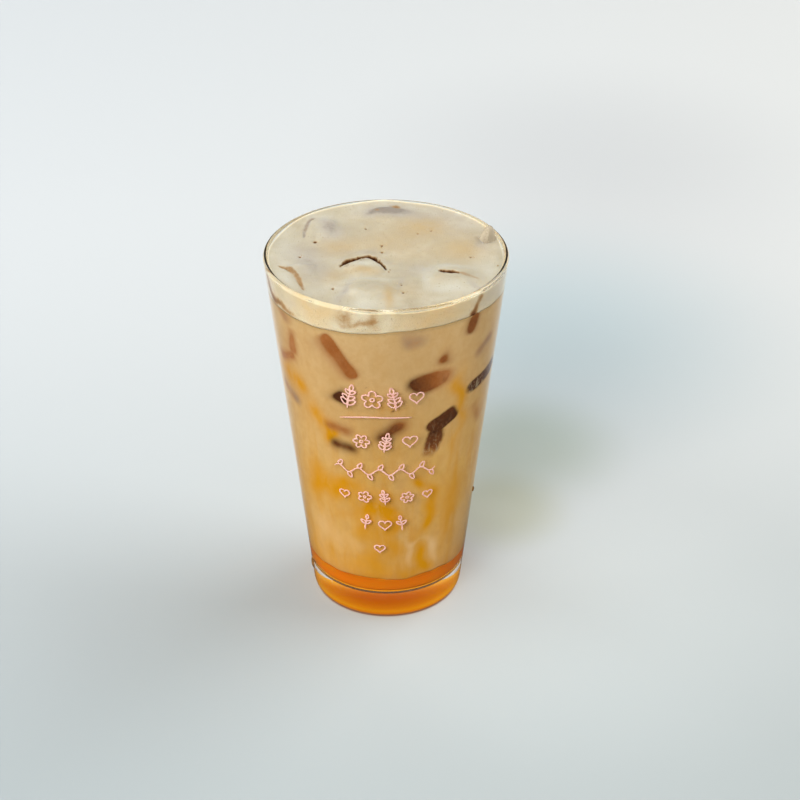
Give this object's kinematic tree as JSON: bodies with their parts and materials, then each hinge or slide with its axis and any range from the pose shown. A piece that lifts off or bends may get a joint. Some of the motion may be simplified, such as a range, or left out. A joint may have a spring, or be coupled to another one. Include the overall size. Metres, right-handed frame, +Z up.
{
  "type": "iced latte",
  "caption": "Iced milky coffee in a clear tapered tumbler: orange syrup at the foot, tan coffee, pale foam on top with ice breaking through it.",
  "frame": {"origin": "centre of the tumbler's foot, on the surface it stands on", "axes": "+Z up along the tumbler's axis; -Y is the side with the enamel decoration, +X to its right"},
  "size_m": [0.09, 0.09, 0.1495],
  "materials": {
    "clear_glass": "polished clear glass",
    "syrup": "clear orange syrup",
    "milky_coffee": "wet, opaque milky coffee",
    "milk_foam": "soft fine foam",
    "ice": "wet melting ice",
    "enamel": "thin pink enamel decoration"
  },
  "bodies": {
    "root": {"tumbler": "clear_glass", "syrup": "syrup", "latte": "milky_coffee", "foam": "milk_foam", "ice_centre": "ice", "ice_front": "ice", "ice_right": "ice", "ice_corner": "ice", "ice_back": "ice", "ice_rear_left": "ice", "ice_left": "ice"}
  },
  "joints": []
}
